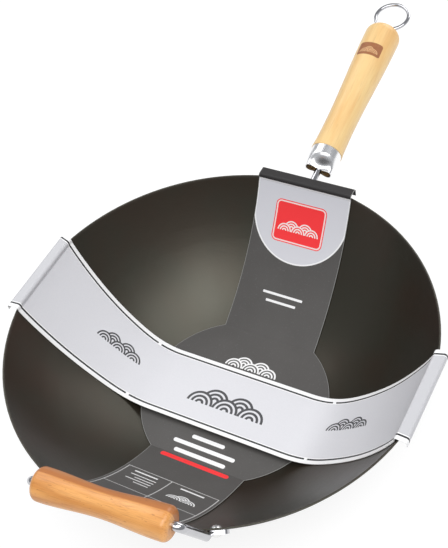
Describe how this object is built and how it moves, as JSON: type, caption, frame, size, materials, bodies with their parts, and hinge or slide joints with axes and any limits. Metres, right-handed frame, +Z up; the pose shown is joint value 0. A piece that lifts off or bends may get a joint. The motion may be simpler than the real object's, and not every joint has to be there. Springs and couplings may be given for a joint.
{
  "type": "wok",
  "caption": "Flat-bottomed carbon steel wok with a long wooden handle, crimped chrome ferrule, hang ring, wooden helper grip and a lift-out card sleeve.",
  "frame": {"origin": "centre of the bowl's flat underside", "axes": "+Z up, +X from the bowl's centre out along the long handle, helper handle at -X"},
  "size_m": [0.6241, 0.3663, 0.1548],
  "materials": {
    "seasoned_steel": "seasoned, satin",
    "chrome_wire": "bright",
    "rivet_steel": "satin",
    "pale_bamboo": "lacquered",
    "amber_bamboo": "lacquered",
    "dark_card": "printed, satin",
    "pale_card": "printed, satin"
  },
  "bodies": {
    "wok": {"wok_bowl": "seasoned_steel", "handle_bracket": "chrome_wire", "handle_rivet_upper": "rivet_steel", "handle_rivet_lower": "rivet_steel", "ferrule": "chrome_wire", "handle_wood": "pale_bamboo", "hang_eye": "chrome_wire", "helper_bracket": "chrome_wire", "helper_rivet_left": "rivet_steel", "helper_rivet_right": "rivet_steel", "helper_grip": "amber_bamboo"},
    "ring": {"hang_ring": "chrome_wire"},
    "sleeve": {"liner_card": "dark_card", "band_card": "pale_card"}
  },
  "joints": [
    {"name": "ring_swing", "type": "hinge", "parent": "wok", "child": "ring", "pos_m": [0.38514, 0, 0.12369], "axis": [0, 1, 0], "range_deg": [-95, 95]},
    {"name": "sleeve_lift", "type": "slide", "parent": "wok", "child": "sleeve", "axis": [0.342, 0, 0.9397], "range_m": [0, 0.16]}
  ]
}
